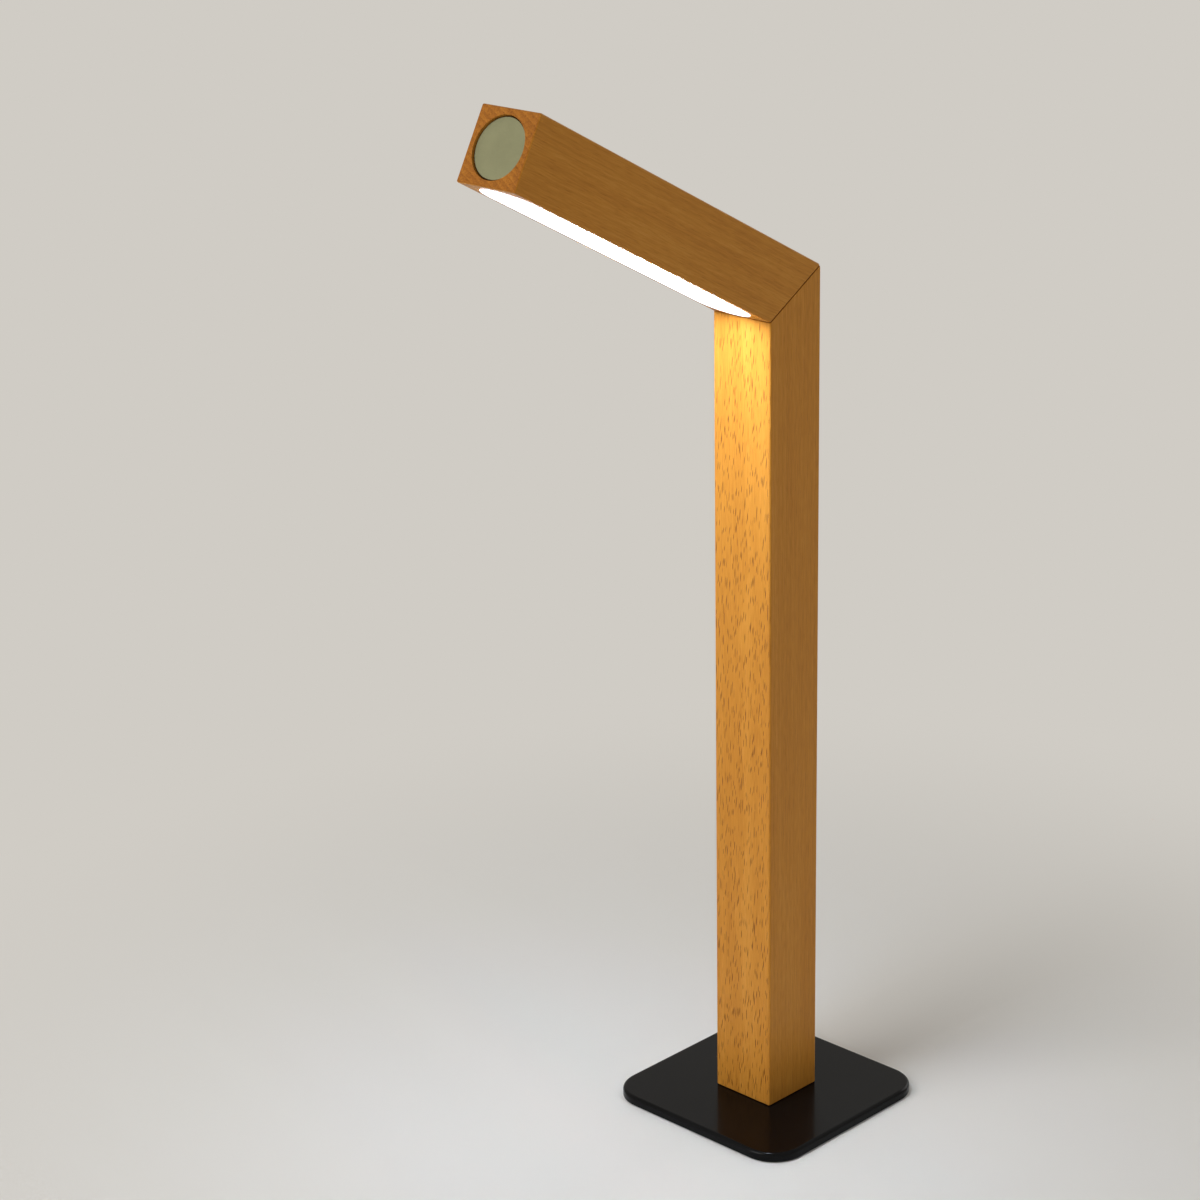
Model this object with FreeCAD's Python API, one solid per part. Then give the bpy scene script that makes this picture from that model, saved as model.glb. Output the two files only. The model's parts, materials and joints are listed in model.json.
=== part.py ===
import FreeCAD
import Part
import math
import os

# A portable table lamp: two square beech bars that meet in a swivelling mitre, on a square steel base.
# Millimetres, +Z up. The origin is on the table, under the middle of the base, and the arm points to -Y.
# Every name is a length, except one that ends in angle, tilt, count, turns or share.

# Play between pieces, and the overrun of every cut
OVERRUN = 2.0
SEAT_PLAY = 0.05
LOOSE_PLAY = 0.3

# The two beech bars
BAR_SIDE = 30.0
BAR_ROUND = 0.7
MITRE_ROUND = 0.25
MITRE_GAP = 0.4
CORNER_ROUND = 2.5
POST_LENGTH = 342.5
ARM_LENGTH = 155.5
ARM_TILT = 28.5

# Base plate and its rubber pad
BASE_SIDE = 96.0
BASE_THICK = 4.0
BASE_CORNER = 15.0
BASE_TOP_ROUND = 1.5
BASE_UNDER_ROUND = 0.4
PAD_THICK = 1.5
PAD_PROUD = 0.3
PAD_MARGIN = 6.0
PAD_PLAY = 0.2
BASE_SCREW_HEAD_RADIUS = 3.2
BASE_SCREW_RADIUS = 1.6
BASE_SCREW_LENGTH = 18.0
BASE_SCREW_INSET = 3.4

# Shapes that all screws share, as shares of their own sizes
SCREW_TIP_SHARE = 0.2
SCREW_SLOT_WIDTH_SHARE = 0.3
SCREW_SLOT_REACH_SHARE = 0.65
SCREW_SLOT_DEPTH_SHARE = 0.6

# Battery cell and the bore that it stands in
CELL_RADIUS = 9.1
CELL_LENGTH = 65.0
CELL_ROUND = 0.8
CELL_PLAY = 0.2
CELL_NUB_RADIUS = 3.0
CELL_NUB_HEIGHT = 0.8
CELL_PAD_RADIUS = 8.0
CELL_PAD_THICK = 1.5
TAB_WIDTH = 4.0
TAB_THICK = 0.25

# Moulded chassis that holds the charging board and the cell
CHASSIS_WALL = 1.0
CHASSIS_PLAY = 0.2
CHASSIS_ROOF = 1.6
CHASSIS_OPEN_OFFSET = 2.0
PUCK_HEIGHT = 9.5
SHELF_RISE = 6.4
SHELF_THICK = 1.5
BORE_HEADROOM = 14.0

# Charging board, its screws and its parts
BOARD_THICK = 1.6
BOARD_PLAY = 0.2
BOARD_SCREW_X = 5.6
BOARD_SCREW_Y = 5.6
BOARD_SCREW_HEAD_RADIUS = 1.7
BOARD_SCREW_HEAD_HEIGHT = 1.1
BOARD_SCREW_RADIUS = 0.9
BOARD_SCREW_LENGTH = 6.0
BOARD_BOSS_RADIUS = 2.1
BOARD_PART_HEIGHT = 1.8
# Centre x, centre y, width and depth as shares of the board's radius, and height as a share of the tallest
BOARD_PART_SHARES = (
    (0.0, -0.12, 0.42, 0.42, 0.5),
    (-0.02, -0.66, 0.44, 0.4, 1.0),
    (-0.48, 0.02, 0.2, 0.32, 0.7),
    (0.46, 0.0, 0.24, 0.2, 0.6),
    (0.46, -0.28, 0.2, 0.12, 0.4),
)

# Charging socket in the back face of the post
USB_WIDTH = 8.94
USB_HEIGHT = 3.26
USB_DEPTH = 7.35
USB_WALL = 0.3
USB_CORNER = 1.5
USB_SETBACK = 0.3
TONGUE_WIDTH = 6.6
TONGUE_THICK = 0.7
TONGUE_SETBACK = 1.0
PORT_WIDTH = 14.4
PORT_HEIGHT = 8.4
PORT_CORNER = 3.0
SLEEVE_WALL = 1.0
SLEEVE_SHOULDER = 0.4
SLEEVE_RECESS = 0.2
SLEEVE_ROUND = 0.25
NOSE_WALL = 0.8
NOSE_FLOOR_THICK = 0.8

# Wires
WIRE_RADIUS = 0.7
WIRE_PITCH = 1.9
WIRE_BEND = 3.0
WIRE_BEND_ROOM_SHARE = 0.45
WIRE_PLAY = 0.45
WIRE_FOOT_INSET = 1.3
WIRE_FOOT_RISE = 3.0
WIRE_CLEARANCE = 2.0
WIRE_SPLIT = 0.2
WIRE_BORE_RADIUS = 3.0
POST_WIRE_ANGLES = (22.0, 45.0)
LEAD_ANGLES = (135.0, 158.0)

# Swivel in the mitre: a hollow shaft on the arm turns in a plate on the post
PLATE_MARGIN = 2.5
PLATE_THICK = 3.0
BOSS_RADIUS = 6.2
BOSS_LENGTH = 6.0
SHAFT_RADIUS = 3.6
SHAFT_BORE_RADIUS = 2.2
SHAFT_PLAY = 0.05
SHAFT_OVERHANG = 0.5
SHAFT_CHAMFER = 0.3
FLANGE_RADIUS = 6.6
FLANGE_THICK = 1.5
SNAP_RING_RADIUS = 4.6
SNAP_RING_THICK = 0.8
SNAP_RING_RISE = 1.6
SNAP_RING_BITE = 0.5
SNAP_RING_PLAY = 0.1
SNAP_RING_OPEN_ANGLE = 60.0
SLIP_WASHER_MARGIN = 0.4
SLIP_PLAY = 0.04
STOP_PIN_RADIUS = 0.8
STOP_PIN_OFFSET = 2.0
STOP_PIN_REACH = 1.2
STOP_PIN_DEPTH = 2.4
STOP_PLAY = 0.05
STOP_PIN_ANGLE = 90.0
SWING_FORWARD_ANGLE = 180.0
SWING_BACK_ANGLE = 150.0
PLATE_SCREW_COUNT = 3
PLATE_SCREW_FIRST_ANGLE = -90.0
PLATE_SCREW_EDGE = 2.2
PLATE_SCREW_HEAD_RADIUS = 1.7
PLATE_SCREW_RADIUS = 0.9
PLATE_SCREW_LENGTH = 8.0
ARM_WIRE_HOLE_RADIUS = 2.6
WIRE_RISE = 2.5
WIRE_DROP = 3.0

# Lens and light engine in the underside of the arm
LENS_MARGIN = 2.8
LENS_START = 1.8
LENS_THICK = 1.8
LENS_PROUD = 0.15
LENS_ROUND = 0.1
LENS_PLAY = 0.1
LENS_LEDGE = 3.6
LENS_RIB_THICK = 1.0
LENS_RIB_HEIGHT = 2.5
CHANNEL_START = 12.0
CHANNEL_END_MARGIN = 19.0
CHANNEL_DEPTH = 11.0
CHANNEL_CORNER = 3.0
CARRIER_START_GAP = 4.0
CARRIER_END_GAP = 6.0
CARRIER_PLAY = 0.3
CARRIER_WEB = 1.5
CARRIER_WALL = 1.2
CARRIER_DEPTH = 4.8
CARRIER_SCREW_INSET = 3.0
CARRIER_SCREW_HEAD_RADIUS = 1.9
CARRIER_SCREW_RADIUS = 1.0
CARRIER_SCREW_LENGTH = 8.0
LED_BOARD_WIDTH = 12.0
LED_BOARD_THICK = 1.2
LED_BOARD_INSET = 6.0
LED_COUNT = 16
LED_LENGTH = 3.5
LED_WIDTH = 2.8
LED_HEIGHT = 0.7
LED_EDGE = 3.0
LED_WIRE_PLAY = 0.15

# Push switch in the end of the arm
CAP_MARGIN = 3.0
CAP_THICK = 1.7
CAP_RECESS = 0.8
CAP_GAP = 0.4
CAP_ROUND = 0.35
CAP_TRAVEL = 0.7
STEM_RADIUS = 2.0
STEM_PLAY = 0.06
STEM_TAIL = 1.7
GUIDE_RADIUS = 7.4
GUIDE_FLANGE_RADIUS = 10.6
GUIDE_FLANGE_THICK = 1.2
GUIDE_WALL = 1.2
GUIDE_RECESS = 3.0
GUIDE_BEARING = 3.0
GUIDE_SCREW_HEAD_RADIUS = 1.4
GUIDE_SCREW_RADIUS = 0.7
GUIDE_SCREW_LENGTH = 6.0
SPRING_RADIUS = 3.6
SPRING_WIRE_RADIUS = 0.3
SPRING_TURNS = 3
CLIP_RADIUS = 3.6
CLIP_THICK = 0.7
CLIP_BITE = 0.5
CLIP_OPEN_ANGLE = 90.0
PLUNGER_RADIUS = 1.4
PLUNGER_LENGTH = 2.6
PLUNGER_PLAY = 0.1
PLUNGER_SHOW = 1.1
SWITCH_SIDE = 6.0
SWITCH_FLOOR = 0.4
CONTROL_BOARD_THICK = 1.2
SWITCH_WELL_RADIUS = 5.5
SWITCH_WELL_LENGTH = 8.0
SWITCH_LEAD_DROP = 2.0
SWITCH_LEAD_RUN = 3.0

# Levels and sizes that follow from the values above
HALF_BAR = BAR_SIDE / 2
FOOT_Z = PAD_PROUD + BASE_THICK
INNER_Z = FOOT_Z + POST_LENGTH
MITRE_TILT = (90 - ARM_TILT) / 2
SWIVEL_Z = INNER_Z + HALF_BAR * math.tan(math.radians(MITRE_TILT))

BOARD_Z = FOOT_Z + PUCK_HEIGHT
BOARD_TOP = BOARD_Z + BOARD_THICK
SHELF_Z = BOARD_TOP + SHELF_RISE
CELL_PAD_Z = SHELF_Z + SHELF_THICK
LOW_TAB_Z = CELL_PAD_Z + CELL_PAD_THICK
CELL_Z = LOW_TAB_Z + TAB_THICK
HIGH_TAB_Z = CELL_Z + CELL_LENGTH + CELL_NUB_HEIGHT
HIGH_PAD_Z = HIGH_TAB_Z + TAB_THICK
CHASSIS_LID_Z = HIGH_PAD_Z + CELL_PAD_THICK
CHASSIS_TOP = CHASSIS_LID_Z + SHELF_THICK
BORE_TOP = CHASSIS_TOP + BORE_HEADROOM

BORE_RADIUS = CELL_RADIUS + CELL_PLAY + WIRE_RADIUS + CHASSIS_WALL
CHASSIS_RADIUS = BORE_RADIUS - CHASSIS_PLAY
CHASSIS_INNER_RADIUS = CHASSIS_RADIUS - CHASSIS_WALL
CELL_Y = CELL_RADIUS + CELL_PLAY - CHASSIS_INNER_RADIUS
BOARD_RADIUS = CHASSIS_INNER_RADIUS - BOARD_PLAY
WIRE_CIRCLE = BORE_RADIUS - WIRE_RADIUS - WIRE_PLAY
WIRE_FOOT_CIRCLE = BOARD_RADIUS - WIRE_FOOT_INSET

PORT_Z = BOARD_TOP + USB_HEIGHT / 2
USB_FRONT = math.sqrt(CHASSIS_RADIUS ** 2 - (USB_WIDTH / 2) ** 2) - USB_SETBACK
USB_BACK = USB_FRONT - USB_DEPTH
SLEEVE_BACK = BORE_RADIUS + SLEEVE_SHOULDER
SLEEVE_FRONT = HALF_BAR - SLEEVE_RECESS
NOSE_BACK = BOARD_RADIUS + LOOSE_PLAY
NOSE_FLOOR = NOSE_BACK + NOSE_FLOOR_THICK

HALF_GAP = MITRE_GAP / 2
PLATE_RADIUS = HALF_BAR - PLATE_MARGIN
PLATE_SEAT = HALF_GAP + PLATE_THICK
BOSS_END = PLATE_SEAT + BOSS_LENGTH
SHAFT_END = BOSS_END + SHAFT_OVERHANG
FLANGE_TOP = PLATE_SEAT + FLANGE_THICK
PLATE_SCREW_CIRCLE = PLATE_RADIUS - PLATE_SCREW_EDGE
STOP_PIN_CIRCLE = SHAFT_RADIUS + STOP_PIN_OFFSET
STOP_GROOVE_RADIUS = STOP_PIN_RADIUS + LOOSE_PLAY
SNAP_RING_Z = SNAP_RING_RISE - BOSS_END
SNAP_RING_INNER_RADIUS = SHAFT_RADIUS - SNAP_RING_BITE + SNAP_RING_PLAY
WIRE_TURN_UP = FLANGE_TOP + WIRE_RISE
WIRE_TURN_DOWN = BOSS_END + WIRE_DROP
WIRE_BORE_Y = WIRE_TURN_DOWN * math.sin(math.radians(MITRE_TILT))

LENS_WIDTH = BAR_SIDE - 2 * LENS_MARGIN
LENS_END = ARM_LENGTH - LENS_MARGIN
LENS_SEAT = LENS_THICK - LENS_PROUD
CHANNEL_WIDTH = LENS_WIDTH - 2 * LENS_LEDGE
CHANNEL_END = ARM_LENGTH - CHANNEL_END_MARGIN
CARRIER_START = CHANNEL_START + CARRIER_START_GAP
CARRIER_END = CHANNEL_END - CARRIER_END_GAP
CARRIER_HALF = CHANNEL_WIDTH / 2 - CARRIER_PLAY
WEB_UNDER = CHANNEL_DEPTH - CARRIER_WEB
LED_BOARD_START = CARRIER_START + LED_BOARD_INSET
LED_BOARD_END = CARRIER_END - LED_BOARD_INSET
LED_BOARD_UNDER = WEB_UNDER - LED_BOARD_THICK
LED_WIRE_HEIGHT = WEB_UNDER - WIRE_RADIUS - LED_WIRE_PLAY

CAP_RADIUS = HALF_BAR - CAP_MARGIN
CAP_BACK = CAP_RECESS + CAP_THICK
CAP_WELL = CAP_BACK + CAP_TRAVEL + LOOSE_PLAY
GUIDE_SEAT = CAP_WELL + GUIDE_FLANGE_THICK
GUIDE_FLOOR = CAP_WELL + GUIDE_RECESS
GUIDE_BACK = GUIDE_FLOOR + GUIDE_BEARING
CLIP_FRONT = GUIDE_BACK + SEAT_PLAY
CLIP_BACK = CLIP_FRONT + CLIP_THICK
STEM_END = CLIP_BACK + STEM_TAIL
PLUNGER_END = STEM_END + PLUNGER_LENGTH
SWITCH_FRONT = STEM_END + PLUNGER_SHOW
CONTROL_BOARD_FRONT = PLUNGER_END + CAP_TRAVEL + LOOSE_PLAY + SWITCH_FLOOR
CONTROL_BOARD_BACK = CONTROL_BOARD_FRONT + CONTROL_BOARD_THICK
GUIDE_SCREW_CIRCLE = (GUIDE_RADIUS + GUIDE_FLANGE_RADIUS) / 2
SPRING_SEAT_RADIUS = SPRING_RADIUS + SPRING_WIRE_RADIUS + LOOSE_PLAY

# Frames
Vector = FreeCAD.Vector
Rotation = FreeCAD.Rotation
Placement = FreeCAD.Placement
X_AXIS = Vector(1, 0, 0)
Y_AXIS = Vector(0, 1, 0)
Z_AXIS = Vector(0, 0, 1)
UPSIDE_DOWN = Rotation(X_AXIS, 180)

# In the swivel's frame z is square to the mitre, towards the arm, and zero is the middle of the gap.
SWIVEL = Placement(Vector(0, 0, SWIVEL_Z), Rotation(X_AXIS, MITRE_TILT))
# In the arm's frame y runs from the inside corner to the arm's end, and z rises from the underside.
ARM = Placement(
    Vector(0, -HALF_BAR, INNER_Z),
    Rotation(Z_AXIS, 180).multiply(Rotation(X_AXIS, ARM_TILT)),
)
# In the button's frame z is the depth in from the middle of the arm's end.
BUTTON = ARM.multiply(Placement(Vector(0, ARM_LENGTH, HALF_BAR), Rotation(X_AXIS, 90)))
# In the port's frame z points out of the back of the post.
PORT = Placement(Vector(0, 0, PORT_Z), Rotation(X_AXIS, -90))


# Basic shapes

def placed(shape, frame):
    copy = shape.copy()
    copy.Placement = frame.multiply(copy.Placement)
    return copy


def spot(x, y, z, turn=Rotation()):
    return Placement(Vector(x, y, z), turn)


def polar(circle, angle, z=0):
    return Vector(circle * math.cos(math.radians(angle)), circle * math.sin(math.radians(angle)), z)


def block(x_low, x_high, y_low, y_high, z_low, z_high):
    return Part.makeBox(x_high - x_low, y_high - y_low, z_high - z_low, Vector(x_low, y_low, z_low))


def disc(radius, z_low, z_high, x=0, y=0):
    return Part.makeCylinder(radius, z_high - z_low, Vector(x, y, z_low))


def ring(outer_radius, inner_radius, z_low, z_high):
    return disc(outer_radius, z_low, z_high).cut(disc(inner_radius, z_low, z_high))


def open_ring(outer_radius, inner_radius, z_low, z_high, open_angle):
    gap = Part.makeCylinder(2 * outer_radius, z_high - z_low, Vector(0, 0, z_low), Z_AXIS, open_angle)
    return ring(outer_radius, inner_radius, z_low, z_high).cut(gap)


def rounded_block(width, depth, corner, z_low, z_high):
    solid = block(-width / 2, width / 2, -depth / 2, depth / 2, z_low, z_high)
    uprights = [edge for edge in solid.Edges if edge.Vertexes[0].Z != edge.Vertexes[1].Z]
    return solid.makeFillet(corner, uprights)


def stadium(width, y_low, y_high, z_low, z_high):
    ends = [disc(width / 2, z_low, z_high, 0, y) for y in (y_low + width / 2, y_high - width / 2)]
    middle = block(-width / 2, width / 2, y_low + width / 2, y_high - width / 2, z_low, z_high)
    return middle.fuse(ends).removeSplitter()


def level_edges(shape, z):
    return [edge for edge in shape.Edges if all(math.isclose(v.Z, z) for v in edge.Vertexes)]


def slotted_cross(reach, width, depth):
    bars = [block(-a, a, -b, b, 0, depth) for a, b in ((reach, width / 2), (width / 2, reach))]
    return bars[0].fuse(bars[1])


def screw_body(radius, length):
    tip_length = 2 * radius
    tip = Part.makeCone(radius, radius * SCREW_TIP_SHARE, tip_length, Vector(0, 0, length - tip_length))
    return disc(radius, 0, length - tip_length).fuse(tip)


def screw_slot(head_radius, head_height):
    reach = head_radius * SCREW_SLOT_REACH_SHARE
    return slotted_cross(reach, head_radius * SCREW_SLOT_WIDTH_SHARE, head_height * SCREW_SLOT_DEPTH_SHARE)


def flat_screw(head_radius, radius, length):
    # Its head is flush at z = 0, with sides at 45 degrees, and it points up.
    head_height = head_radius - radius
    head = Part.makeCone(head_radius, radius, head_height)
    whole = head.fuse(screw_body(radius, length)).removeSplitter()
    return whole.cut(screw_slot(head_radius, head_height))


def flat_screw_hole(head_radius, radius, length):
    wide_head = head_radius + SEAT_PLAY
    wide = radius + SEAT_PLAY
    cone = Part.makeCone(wide_head, wide, wide_head - wide)
    return cone.fuse([disc(wide, 0, length + SEAT_PLAY), disc(wide_head, -OVERRUN, 0)])


def pan_screw(head_radius, head_height, radius, length):
    # The underside of its head is at z = 0, and it points down.
    head = disc(head_radius, 0, head_height).cut(
        placed(screw_slot(head_radius, head_height), spot(0, 0, head_height, UPSIDE_DOWN)))
    return head.fuse(placed(screw_body(radius, length), spot(0, 0, 0, UPSIDE_DOWN))).removeSplitter()


def corner_arc(before, corner, after):
    # The tangent arc that rounds one corner of a route
    run_in = corner.sub(before)
    run_out = after.sub(corner)
    half_turn = run_in.getAngle(run_out) / 2
    room = min(run_in.Length, run_out.Length) * WIRE_BEND_ROOM_SHARE
    radius = min(WIRE_BEND, room / math.tan(half_turn))
    reach = radius * math.tan(half_turn)
    toward_in = Vector(run_in).normalize()
    toward_out = Vector(run_out).normalize()
    inward = toward_out.sub(toward_in).normalize()
    middle = corner.add(inward * (radius / math.cos(half_turn) - radius))
    return corner.sub(toward_in * reach), middle, corner.add(toward_out * reach)


def wire_along(points):
    edges = []
    start = points[0]
    for before, corner, after in zip(points, points[1:], points[2:]):
        arc_start, arc_middle, arc_end = corner_arc(before, corner, after)
        edges.append(Part.LineSegment(start, arc_start).toShape())
        edges.append(Part.Arc(arc_start, arc_middle, arc_end).toShape())
        start = arc_end
    edges.append(Part.LineSegment(start, points[-1]).toShape())
    section = Part.Wire(Part.makeCircle(WIRE_RADIUS, points[0], points[1].sub(points[0])))
    return Part.Wire(edges).makePipeShell([section], True, False)


def group(shapes):
    return Part.makeCompound(list(shapes))


# Base

def pad_block(play, z_low, z_high):
    side = BASE_SIDE - 2 * PAD_MARGIN + 2 * play
    return rounded_block(side, side, BASE_CORNER - PAD_MARGIN + play, z_low, z_high)


def base_screw_spots():
    offset = HALF_BAR - BASE_SCREW_INSET
    return [spot(x, y, PAD_THICK) for x in (-offset, offset) for y in (-offset, offset)]


def base_screw_holes():
    hole = flat_screw_hole(BASE_SCREW_HEAD_RADIUS, BASE_SCREW_RADIUS, BASE_SCREW_LENGTH)
    return [placed(hole, place) for place in base_screw_spots()]


def base_plate():
    plate = rounded_block(BASE_SIDE, BASE_SIDE, BASE_CORNER, PAD_PROUD, FOOT_Z)
    plate = plate.makeFillet(BASE_TOP_ROUND, level_edges(plate, FOOT_Z))
    plate = plate.makeFillet(BASE_UNDER_ROUND, level_edges(plate, PAD_PROUD))
    return plate.cut([pad_block(PAD_PLAY, PAD_PROUD - OVERRUN, PAD_THICK)] + base_screw_holes())


def foot_pad():
    return pad_block(0, 0, PAD_THICK)


def base_screws():
    screw = flat_screw(BASE_SCREW_HEAD_RADIUS, BASE_SCREW_RADIUS, BASE_SCREW_LENGTH)
    return group(placed(screw, place) for place in base_screw_spots())


# Beech bars

def edges_along_mitre(shape, z):
    # The edges that stay at the given height in the swivel's frame
    back = SWIVEL.inverse()
    return [
        edge for edge in shape.Edges
        if all(abs(back.multVec(v.Point).z - z) < MITRE_ROUND / 2 for v in edge.Vertexes)
    ]


def mitred_bar(side, far_corners):
    # A bar with eased edges, from the mitre to two far corners; side is -1 for the post and 1 for the arm.
    # The outside of the corner is rounded across both bars.
    tilt = math.radians(MITRE_TILT)
    mitre_z = side * HALF_GAP
    inner_y = -(HALF_BAR + HALF_GAP * math.sin(tilt)) / math.cos(tilt)
    centre_y = (HALF_BAR - CORNER_ROUND) / math.cos(tilt)
    last_angle = math.degrees(math.asin(HALF_GAP / CORNER_ROUND))

    def corner_point(angle):
        reach = polar(CORNER_ROUND, side * angle)
        return SWIVEL.multVec(Vector(-HALF_BAR, centre_y + reach.x, reach.y))

    arc = [corner_point(angle) for angle in (last_angle, (last_angle + MITRE_TILT) / 2, MITRE_TILT)]
    inner = SWIVEL.multVec(Vector(-HALF_BAR, inner_y, mitre_z))
    corners = [arc[2]] + far_corners + [inner, arc[0]]
    sides = [Part.LineSegment(start, end).toShape() for start, end in zip(corners, corners[1:])]
    outline = Part.Wire([Part.Arc(*arc).toShape()] + sides)
    bar = Part.Face(outline).extrude(X_AXIS * BAR_SIDE)
    smooth = edges_along_mitre(bar, side * CORNER_ROUND * math.sin(tilt))
    left = smooth + edges_along_mitre(bar, mitre_z)
    bar = bar.makeFillet(BAR_ROUND, [e for e in bar.Edges if not any(e.isSame(other) for other in left)])
    return bar.makeFillet(MITRE_ROUND, edges_along_mitre(bar, mitre_z))


def plate_screw_spots(z, turn):
    step = 360 / PLATE_SCREW_COUNT
    angles = [PLATE_SCREW_FIRST_ANGLE + step * i for i in range(PLATE_SCREW_COUNT)]
    return [Placement(polar(PLATE_SCREW_CIRCLE, angle, z), turn) for angle in angles]


def plate_screw_holes(z, turn):
    hole = flat_screw_hole(PLATE_SCREW_HEAD_RADIUS, PLATE_SCREW_RADIUS, PLATE_SCREW_LENGTH)
    return [placed(hole, place) for place in plate_screw_spots(z, turn)]


def port_block(play, z_low, z_high):
    return rounded_block(PORT_WIDTH + 2 * play, PORT_HEIGHT + 2 * play, PORT_CORNER + play, z_low, z_high)


def post():
    bar = mitred_bar(-1, [Vector(-HALF_BAR, y, FOOT_Z) for y in (HALF_BAR, -HALF_BAR)])
    swivel_pockets = [
        disc(PLATE_RADIUS + SEAT_PLAY, -PLATE_SEAT, OVERRUN),
        disc(BOSS_RADIUS + LOOSE_PLAY, -SHAFT_END - LOOSE_PLAY, OVERRUN),
        disc(WIRE_BORE_RADIUS, -WIRE_TURN_DOWN, 0),
    ] + plate_screw_holes(-HALF_GAP, UPSIDE_DOWN)
    port_pockets = [
        port_block(0, 0, HALF_BAR + OVERRUN),
        port_block(SLEEVE_WALL + SEAT_PLAY, SLEEVE_BACK, HALF_BAR + OVERRUN),
    ]
    wire_bore_top = SWIVEL.multVec(Vector(0, 0, -WIRE_TURN_DOWN)).z
    bores = [
        disc(BORE_RADIUS, FOOT_Z - OVERRUN, BORE_TOP),
        disc(WIRE_BORE_RADIUS, BORE_TOP - OVERRUN, wire_bore_top, 0, WIRE_BORE_Y),
        Part.makeSphere(WIRE_BORE_RADIUS, Vector(0, WIRE_BORE_Y, wire_bore_top)),
    ]
    cuts = [placed(shape, SWIVEL) for shape in swivel_pockets]
    cuts += [placed(shape, PORT) for shape in port_pockets]
    return bar.cut(bores + cuts + base_screw_holes())


def arm_wire_ends():
    # Where the arm's wire hole leaves the swivel pocket, and where it opens into the light channel
    high = ARM.inverse().multVec(SWIVEL.multVec(Vector(0, 0, WIRE_TURN_UP)))
    low = Vector(0, CHANNEL_START + WIRE_RADIUS + LOOSE_PLAY, LED_WIRE_HEIGHT)
    return high, low


def lens_rebate():
    y_range = (LENS_START - LENS_PLAY, LENS_END + LENS_PLAY)
    return stadium(LENS_WIDTH + 2 * LENS_PLAY, *y_range, -OVERRUN, LENS_SEAT)


def light_channel():
    length = CHANNEL_END - CHANNEL_START
    middle = (CHANNEL_END + CHANNEL_START) / 2
    channel = rounded_block(CHANNEL_WIDTH, length, CHANNEL_CORNER, -OVERRUN, CHANNEL_DEPTH)
    return placed(channel, spot(0, middle, 0))


def arm():
    bar = mitred_bar(1, [ARM.multVec(Vector(HALF_BAR, ARM_LENGTH, z)) for z in (BAR_SIDE, 0)])
    swivel_pockets = [
        disc(PLATE_RADIUS + SEAT_PLAY, -OVERRUN, PLATE_SEAT),
        disc(FLANGE_RADIUS + LOOSE_PLAY, -OVERRUN, WIRE_TURN_UP + WIRE_RISE),
    ] + plate_screw_holes(HALF_GAP, Rotation())
    high, low = arm_wire_ends()
    well_end = ARM_LENGTH - CONTROL_BOARD_BACK - SWITCH_WELL_LENGTH
    light_pockets = [
        lens_rebate(),
        light_channel(),
        Part.makeCylinder(ARM_WIRE_HOLE_RADIUS, low.sub(high).Length, high, low.sub(high)),
        Part.makeSphere(ARM_WIRE_HOLE_RADIUS, high),
        Part.makeCylinder(SWITCH_WELL_RADIUS, ARM_LENGTH - well_end, Vector(0, well_end, HALF_BAR), Y_AXIS),
    ] + carrier_screw_holes()
    button_pockets = [
        disc(CAP_RADIUS + CAP_GAP, -OVERRUN, CAP_WELL),
        disc(GUIDE_FLANGE_RADIUS + SEAT_PLAY, -OVERRUN, GUIDE_SEAT),
        disc(GUIDE_RADIUS + SEAT_PLAY, -OVERRUN, CONTROL_BOARD_BACK),
    ] + guide_screw_holes()
    cuts = [placed(shape, SWIVEL) for shape in swivel_pockets]
    cuts += [placed(shape, ARM) for shape in light_pockets]
    cuts += [placed(shape, BUTTON) for shape in button_pockets]
    return bar.cut(cuts)


# Battery and charging unit in the foot of the post

def board_screw_spots():
    return [spot(x, -BOARD_SCREW_Y, BOARD_TOP) for x in (-BOARD_SCREW_X, BOARD_SCREW_X)]


def board_screw_holes():
    hole = disc(BOARD_SCREW_RADIUS + SEAT_PLAY, -BOARD_SCREW_LENGTH - SEAT_PLAY, OVERRUN)
    return [placed(hole, place) for place in board_screw_spots()]


def power_chassis():
    puck = disc(CHASSIS_RADIUS, FOOT_Z, BOARD_Z)
    hollow = disc(CHASSIS_INNER_RADIUS, FOOT_Z - OVERRUN, BOARD_Z - CHASSIS_ROOF)
    bosses = [
        disc(BOARD_BOSS_RADIUS, BOARD_TOP - BOARD_SCREW_LENGTH - CHASSIS_ROOF, BOARD_Z, x, -BOARD_SCREW_Y)
        for x in (-BOARD_SCREW_X, BOARD_SCREW_X)
    ]
    cradle = ring(CHASSIS_RADIUS, CHASSIS_INNER_RADIUS, BOARD_Z, CHASSIS_TOP)
    shelves = [disc(CHASSIS_RADIUS, z, z + SHELF_THICK) for z in (SHELF_Z, CHASSIS_LID_Z)]
    front = block(-BAR_SIDE, BAR_SIDE, -CHASSIS_OPEN_OFFSET, BAR_SIDE, BOARD_Z, CHASSIS_TOP)
    cradle = cradle.fuse(shelves).cut(front)
    whole = puck.cut(hollow).fuse(bosses + [cradle]).removeSplitter()
    sleeve_notch = placed(port_block(SEAT_PLAY, BOARD_RADIUS, BAR_SIDE), PORT)
    return whole.cut(board_screw_holes() + [sleeve_notch])


def charge_board():
    return disc(BOARD_RADIUS, BOARD_Z, BOARD_TOP).cut(board_screw_holes())


def board_screws():
    screw = pan_screw(
        BOARD_SCREW_HEAD_RADIUS, BOARD_SCREW_HEAD_HEIGHT, BOARD_SCREW_RADIUS, BOARD_SCREW_LENGTH)
    return group(placed(screw, place) for place in board_screw_spots())


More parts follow.
